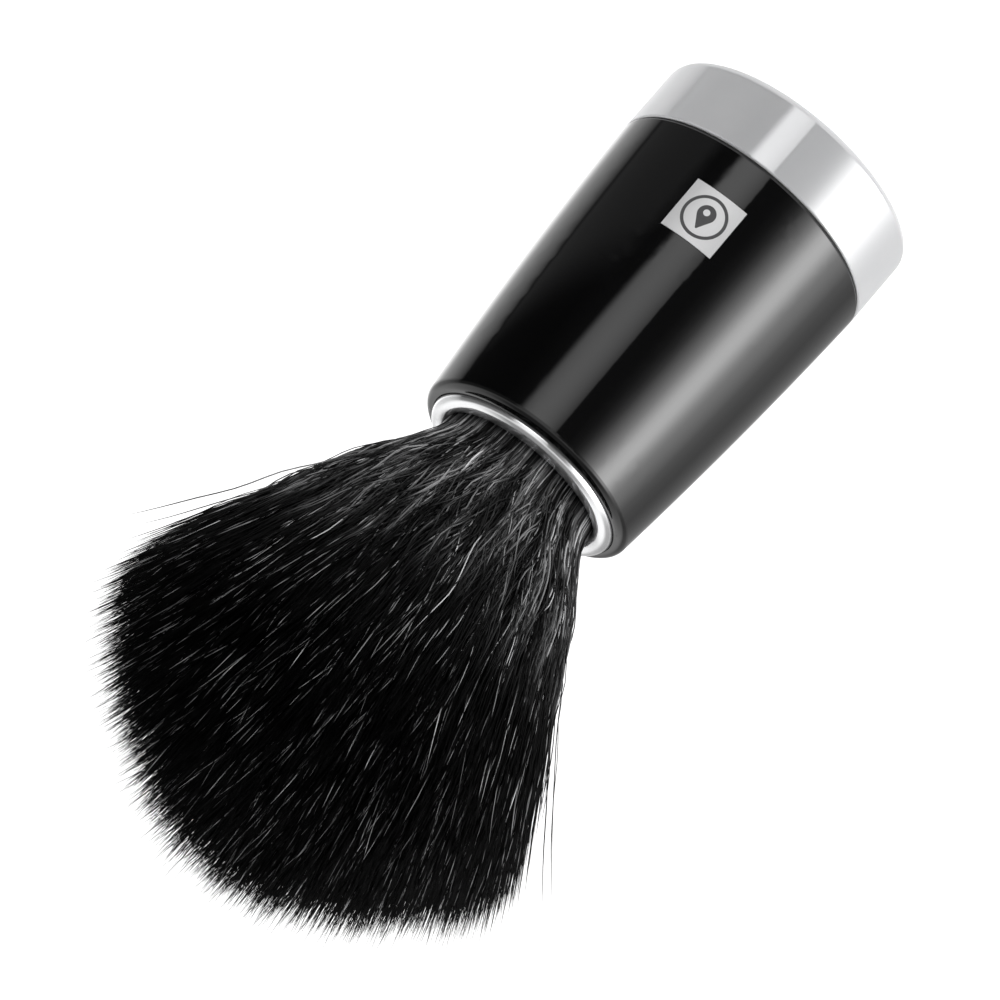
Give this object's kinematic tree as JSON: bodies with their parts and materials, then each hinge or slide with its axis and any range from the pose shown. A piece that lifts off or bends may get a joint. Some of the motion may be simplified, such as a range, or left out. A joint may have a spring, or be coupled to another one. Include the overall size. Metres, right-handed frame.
{
  "type": "shaving brush",
  "caption": "Shaving brush with a tapered gloss handle on a polished metal base, a polished mouth ring and a full bulb-shaped fibre knot that flexes at its root.",
  "frame": {"origin": "centre of the face that the brush stands on, under the non-slip pad", "axes": "+Z along the handle's axis, up towards the bristle tips; the badge faces -Y; +X completes the right-handed frame"},
  "size_m": [0.054, 0.054, 0.1102],
  "materials": {
    "gloss_body": "polished",
    "polished_metal": "polished",
    "turned_steel": "satin",
    "turned_aluminium": "satin",
    "black_rubber": "matte",
    "adhesive_tape": "matte",
    "badge_metal": "satin",
    "badge_enamel": "gloss",
    "knot_resin": "gloss",
    "binding_cord": "matte",
    "bristles": "satin"
  },
  "bodies": {
    "handle": {"base_pad": "black_rubber", "base_cap": "polished_metal", "cap_seal": "black_rubber", "balance_weight": "turned_steel", "weight_cushion": "black_rubber", "flat_washer": "turned_steel", "spring_washer": "turned_steel", "tie_screw": "turned_steel", "handle_body": "gloss_body", "badge_tape": "adhesive_tape", "badge_plate": "badge_metal", "badge_mark": "badge_enamel", "knot_cup": "turned_aluminium", "collar_gasket": "black_rubber", "mouth_collar": "polished_metal", "resin_plug": "knot_resin", "binding_cord": "binding_cord", "bristle_root": "bristles"},
    "neck": {"bristle_neck": "bristles"},
    "fan": {"bristle_fan": "bristles"}
  },
  "joints": [
    {"name": "bristle_bend_x", "type": "hinge", "parent": "handle", "child": "neck", "pos_m": [0, 0, 0.0553], "axis": [1, 0, 0], "range_deg": [-20, 20], "stiffness_Nm_per_rad": 0.12},
    {"name": "bristle_bend_y", "type": "hinge", "parent": "neck", "child": "fan", "pos_m": [0, 0, 0.0583], "axis": [0, 1, 0], "range_deg": [-20, 20], "stiffness_Nm_per_rad": 0.12}
  ]
}
